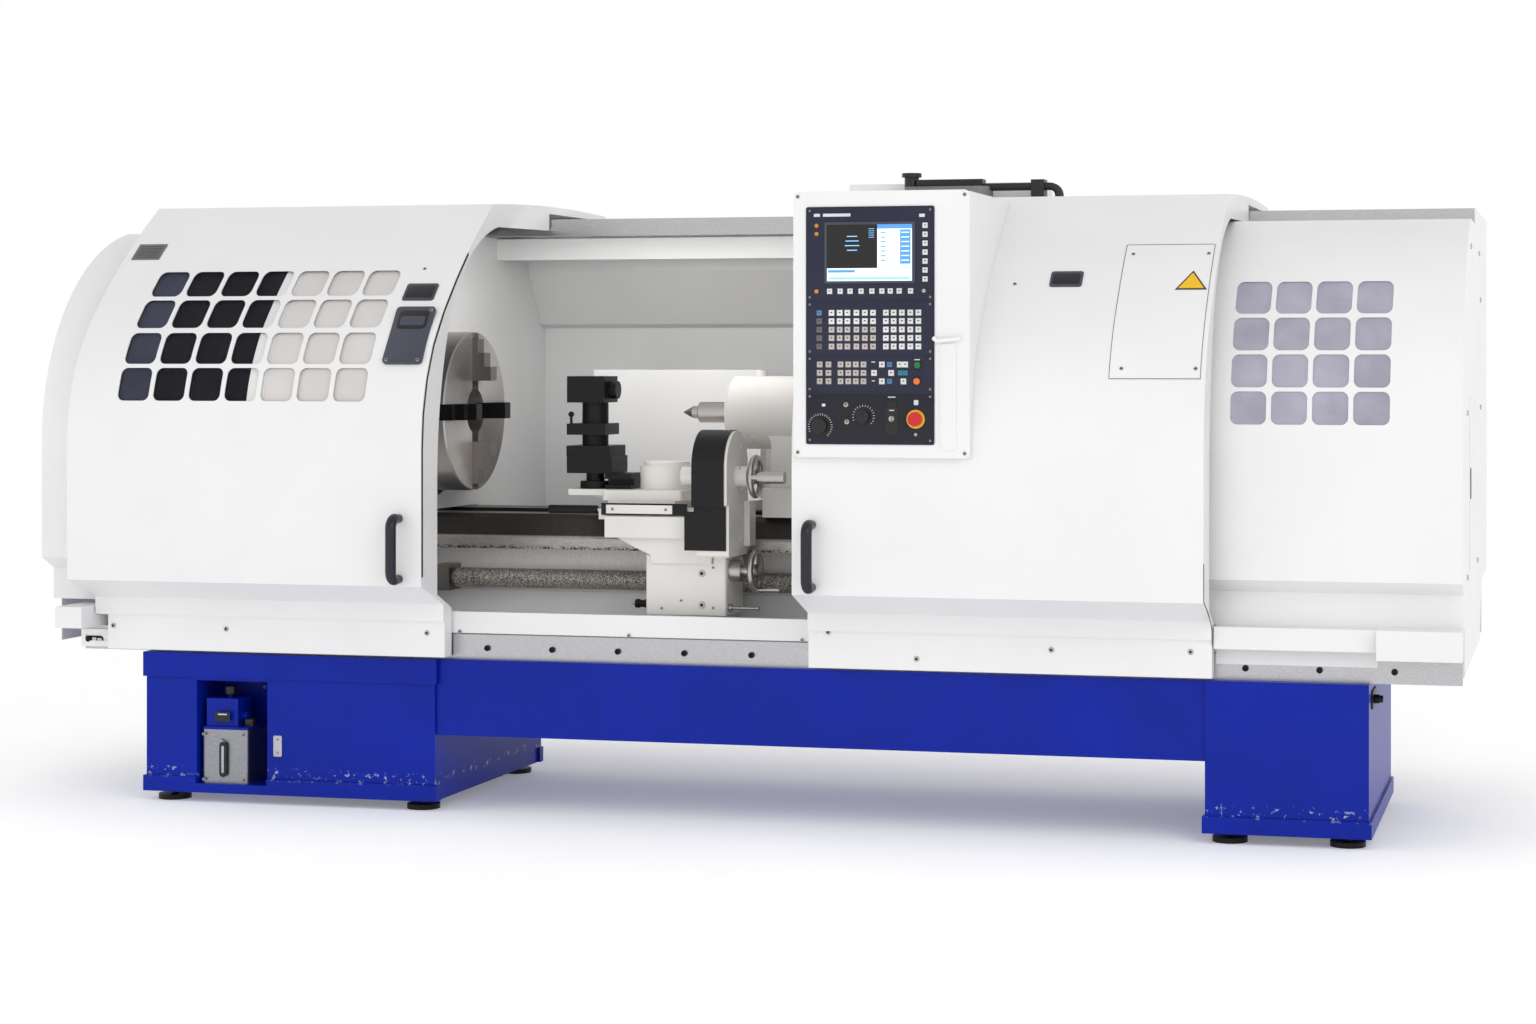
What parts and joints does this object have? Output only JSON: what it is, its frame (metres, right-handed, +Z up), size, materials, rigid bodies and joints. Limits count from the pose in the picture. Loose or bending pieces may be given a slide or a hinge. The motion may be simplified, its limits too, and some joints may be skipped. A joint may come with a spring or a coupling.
{
  "type": "cnc turning lathe",
  "caption": "Flat-bed CNC turning lathe with curved sliding guard doors, a tilted-in control pendant, a four-jaw chuck, a cross slide with a tool post and a tailstock on a blue two-leg base.",
  "frame": {"origin": "on the floor, in the middle of the machine's outer box", "axes": "+X along the spindle from the headstock to the tailstock, +Y from the operator to the back, +Z up"},
  "size_m": [4.332, 2.042, 1.925],
  "materials": {
    "cover_paint": "white powder coat",
    "base_paint": "deep blue enamel",
    "machine_paint": "white enamel",
    "grey_paint": "grey enamel",
    "black_metal": "black oxide",
    "cast": "machined cast iron",
    "steel": "ground steel",
    "chrome": "polished",
    "black_plastic": "fine texture",
    "panel_film": "slate violet film",
    "key_plastic": "pale keys",
    "green_plastic": "gloss",
    "orange_plastic": "gloss",
    "red_plastic": "gloss",
    "glass": "clear",
    "rubber": "matt",
    "pump_plastic": "blue"
  },
  "bodies": {
    "base": {"base_frame": "base_paint", "leveling_feet": "steel", "lube_tank": "grey_paint", "lube_pump": "pump_plastic", "bed": "cast", "shaft_bearings": "steel", "z_motor": "black_metal", "door_rail": "steel", "rail_bolts": "steel", "chip_tray": "cover_paint", "rail_covers": "cover_paint", "upper_rail": "steel", "roof_beam": "cover_paint", "left_cover": "cover_paint", "right_cover": "cover_paint", "right_window": "glass", "headstock_wall": "cover_paint", "rear_enclosure": "cover_paint", "headstock": "machine_paint", "spindle_motor": "grey_paint", "drive_belt": "rubber"},
    "left_door": {"left_door": "cover_paint", "left_window": "glass", "left_handle": "black_plastic"},
    "right_door": {"right_door": "cover_paint", "right_handle": "black_plastic", "access_cover": "cover_paint", "pendant": "cover_paint", "panel_bezel": "panel_film", "keys": "key_plastic", "cable_arm": "black_metal", "conduits": "rubber"},
    "cycle_start": {"cycle_start_button": "green_plastic"},
    "feed_hold": {"feed_hold_button": "orange_plastic"},
    "stop_button": {"emergency_stop": "red_plastic"},
    "feed_override": {"feed_dial": "black_plastic"},
    "jog_selector": {"jog_dial": "black_plastic"},
    "key_lock": {"key_switch": "chrome"},
    "spindle_line": {"spindle": "steel", "chuck": "steel"},
    "jaw_top": {"jaw_1": "steel"},
    "jaw_back": {"jaw_2": "steel"},
    "jaw_bottom": {"jaw_3": "steel"},
    "jaw_front": {"jaw_4": "steel"},
    "motor_rotor": {"motor_pulley": "cast"},
    "screw": {"ball_screw": "steel"},
    "carriage": {"saddle": "machine_paint", "apron": "machine_paint", "rear_guard": "cover_paint", "guard_housing": "machine_paint"},
    "slide": {"cross_slide": "machine_paint", "tool_drum": "machine_paint"},
    "tool_post": {"tool_head": "black_metal", "tool_holder": "black_metal"},
    "upper_wheel": {"upper_handwheel": "chrome"},
    "lower_wheel": {"lower_handwheel": "chrome"},
    "lever": {"apron_lever": "chrome"},
    "tailstock": {"tailstock": "machine_paint"},
    "quill": {"quill": "steel"},
    "centre": {"live_center": "steel"}
  },
  "joints": [
    {"name": "left_door_slide", "type": "slide", "parent": "base", "child": "left_door", "axis": [1, 0, 0], "range_m": [0, 0.564]},
    {"name": "right_door_slide", "type": "slide", "parent": "base", "child": "right_door", "axis": [1, 0, 0], "range_m": [-0.564, 0]},
    {"name": "cycle_start_press", "type": "slide", "parent": "right_door", "child": "cycle_start", "axis": [0, 1, 0], "range_m": [0, 0.0032], "stiffness_N_per_m": 200},
    {"name": "feed_hold_press", "type": "slide", "parent": "right_door", "child": "feed_hold", "axis": [0, 1, 0], "range_m": [0, 0.0032], "stiffness_N_per_m": 200},
    {"name": "stop_press", "type": "slide", "parent": "right_door", "child": "stop_button", "axis": [0, 1, 0], "range_m": [0, 0.005], "stiffness_N_per_m": 300},
    {"name": "feed_override_turn", "type": "hinge", "parent": "right_door", "child": "feed_override", "pos_m": [0.397, -0.972, 1.172], "axis": [0, 1, 0], "range_deg": [-135, 135]},
    {"name": "jog_selector_turn", "type": "hinge", "parent": "right_door", "child": "jog_selector", "pos_m": [0.523, -0.972, 1.2], "axis": [0, 1, 0], "range_deg": [-135, 135]},
    {"name": "key_turn", "type": "hinge", "parent": "right_door", "child": "key_lock", "pos_m": [0.605, -0.972, 1.194], "axis": [0, 1, 0], "range_deg": [0, 90]},
    {"name": "spindle_spin", "type": "hinge", "parent": "base", "child": "spindle_line", "pos_m": [-0.973, -0.327, 1.196], "axis": [1, 0, 0], "continuous": true},
    {"name": "motor_spin", "type": "hinge", "parent": "base", "child": "motor_rotor", "pos_m": [-1.823, 0.173, 1], "axis": [1, 0, 0], "continuous": true},
    {"name": "jaw_top_slide", "type": "slide", "parent": "spindle_line", "child": "jaw_top", "axis": [0, 0, 1], "range_m": [-0.03, 0.02]},
    {"name": "jaw_back_slide", "type": "slide", "parent": "spindle_line", "child": "jaw_back", "axis": [0, 1, 0], "range_m": [-0.03, 0.02]},
    {"name": "jaw_bottom_slide", "type": "slide", "parent": "spindle_line", "child": "jaw_bottom", "axis": [0, 0, -1], "range_m": [-0.03, 0.02]},
    {"name": "jaw_front_slide", "type": "slide", "parent": "spindle_line", "child": "jaw_front", "axis": [0, -1, 0], "range_m": [-0.03, 0.02]},
    {"name": "screw_spin", "type": "hinge", "parent": "base", "child": "screw", "pos_m": [-0.323, -0.422, 0.68], "axis": [1, 0, 0], "range_deg": [-4500, 360]},
    {"name": "carriage_slide", "type": "slide", "parent": "base", "child": "carriage", "axis": [1, 0, 0], "range_m": [-0.25, 0.02]},
    {"name": "cross_slide_feed", "type": "slide", "parent": "carriage", "child": "slide", "axis": [0, 1, 0], "range_m": [-0.08, 0.15]},
    {"name": "tool_post_index", "type": "hinge", "parent": "slide", "child": "tool_post", "pos_m": [-0.448, -0.497, 1], "axis": [0, 0, 1], "range_deg": [-270, 0]},
    {"name": "upper_wheel_turn", "type": "hinge", "parent": "carriage", "child": "upper_wheel", "pos_m": [0.097, -0.617, 1.012], "axis": [1, 0, 0], "continuous": true},
    {"name": "lower_wheel_turn", "type": "hinge", "parent": "carriage", "child": "lower_wheel", "pos_m": [0.087, -0.577, 0.728], "axis": [1, 0, 0], "continuous": true},
    {"name": "lever_turn", "type": "hinge", "parent": "carriage", "child": "lever", "pos_m": [0.015, -0.597, 0.618], "axis": [1, 0, 0], "range_deg": [-30, 30]},
    {"name": "tailstock_slide", "type": "slide", "parent": "base", "child": "tailstock", "axis": [1, 0, 0], "range_m": [0, 0.75]},
    {"name": "quill_feed", "type": "slide", "parent": "tailstock", "child": "quill", "axis": [-1, 0, 0], "range_m": [0, 0.07]},
    {"name": "centre_spin", "type": "hinge", "parent": "quill", "child": "centre", "pos_m": [-0.173, -0.327, 1.196], "axis": [1, 0, 0], "continuous": true}
  ],
  "couplings": [
    {"joint": "motor_spin", "follows": "spindle_spin", "ratio": 1.8333},
    {"joint": "carriage_slide", "follows": "screw_spin", "m_per_rad": 0.0031831}
  ]
}
